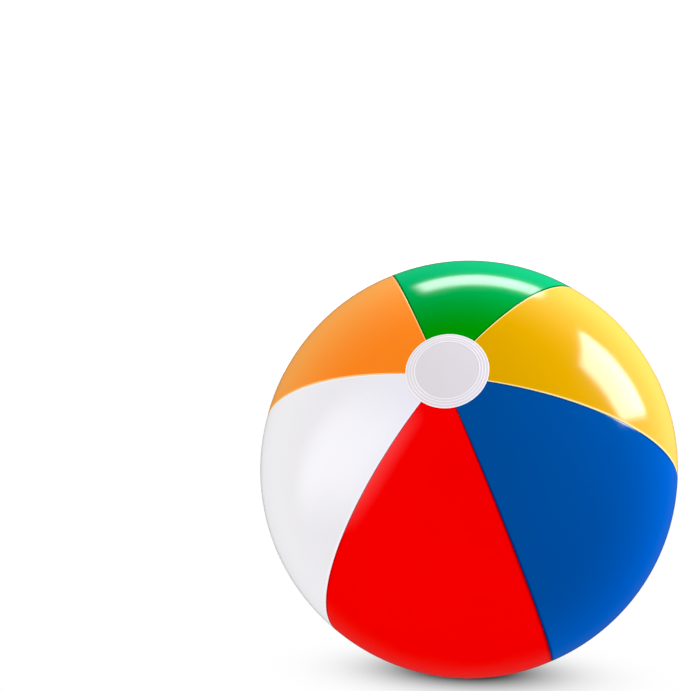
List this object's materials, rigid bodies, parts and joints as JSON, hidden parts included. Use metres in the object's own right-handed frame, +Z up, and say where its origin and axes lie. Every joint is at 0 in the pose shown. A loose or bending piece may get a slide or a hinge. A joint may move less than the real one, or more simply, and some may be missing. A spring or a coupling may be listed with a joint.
{
  "type": "inflatable beach ball",
  "caption": "Inflated beach ball of coloured welded film gores with round pole caps and a push-in valve with plug.",
  "frame": {"origin": "centre of the inflated ball", "axes": "+Z up, with the ball resting on its floor patch at -Z; the polar axis lies in the YZ plane, and the front pole looks to -Y and 30 degrees up"},
  "size_m": [0.325, 0.325, 0.3244],
  "materials": {
    "film_red": "gloss",
    "film_blue": "gloss",
    "film_yellow": "gloss",
    "film_green": "gloss",
    "film_orange": "gloss",
    "film_white": "gloss",
    "cap_film": "gloss",
    "valve_pvc": "satin"
  },
  "bodies": {
    "ball": {"gore_yellow": "film_yellow", "gore_green": "film_green", "gore_orange": "film_orange", "gore_white": "film_white", "gore_red": "film_red", "gore_blue": "film_blue", "front_cap": "cap_film", "rear_cap": "cap_film", "valve_flange": "valve_pvc", "valve_skirt": "valve_pvc"},
    "valve_stem": {"valve_stem": "valve_pvc"},
    "plug": {"valve_plug": "valve_pvc", "plug_strap": "valve_pvc"},
    "check_flap": {"check_flap": "valve_pvc"}
  },
  "joints": [
    {"name": "valve_pop_out", "type": "slide", "parent": "ball", "child": "valve_stem", "axis": [-0.347, 0.9055, -0.2443], "range_m": [0, 0.012], "deforming": ["valve_skirt"]},
    {"name": "plug_swing", "type": "hinge", "parent": "valve_stem", "child": "plug", "pos_m": [-0.06026, 0.14372, -0.03461], "axis": [0.5707, 0.4106, 0.7111], "range_deg": [0, 110], "deforming": ["plug_strap"]},
    {"name": "flap_open", "type": "hinge", "parent": "valve_stem", "child": "check_flap", "pos_m": [-0.05405, 0.131, -0.03225], "axis": [-0.5707, -0.4106, -0.7111], "range_deg": [0, 60]}
  ]
}
